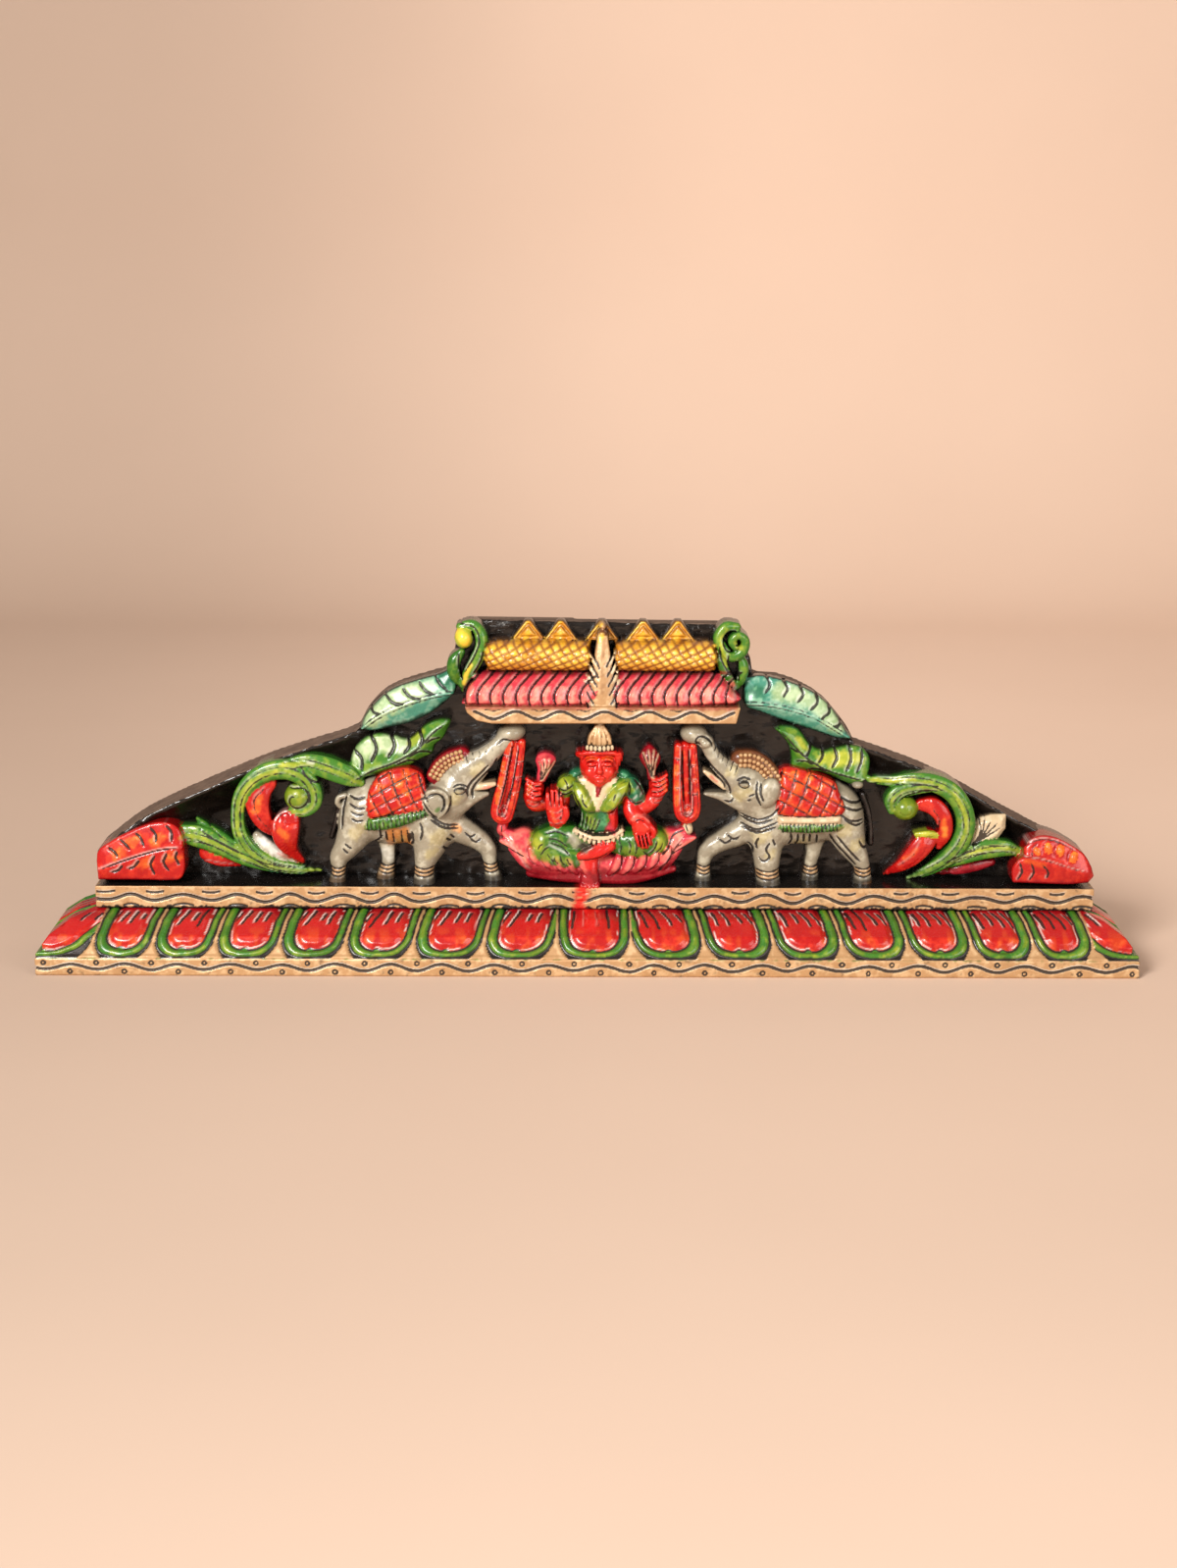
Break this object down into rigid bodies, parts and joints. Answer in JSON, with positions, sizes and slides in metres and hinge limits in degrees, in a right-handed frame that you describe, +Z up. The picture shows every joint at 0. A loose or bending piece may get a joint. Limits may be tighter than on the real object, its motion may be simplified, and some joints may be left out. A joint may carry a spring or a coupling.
{
  "type": "carved wood panel on a plinth",
  "caption": "Low pediment-shaped wood panel carved in relief with a seated goddess, elephants, scrolls and a canopy, standing on a lotus-petal plinth.",
  "frame": {"origin": "on the floor, at the middle of the bounding box's bottom", "axes": "+X along the panel to the viewer's right, -Y out of the carved face, +Z up"},
  "size_m": [0.9148, 0.1004, 0.286],
  "materials": {
    "painted_carving": "glossy black enamel with gold, red, green, grey, teal, pink and ochre paint",
    "painted_plinth": "glossy red, green and cream petals above a gold band"
  },
  "bodies": {
    "root": {"carved_panel": "painted_carving", "lotus_plinth": "painted_plinth"}
  },
  "joints": []
}
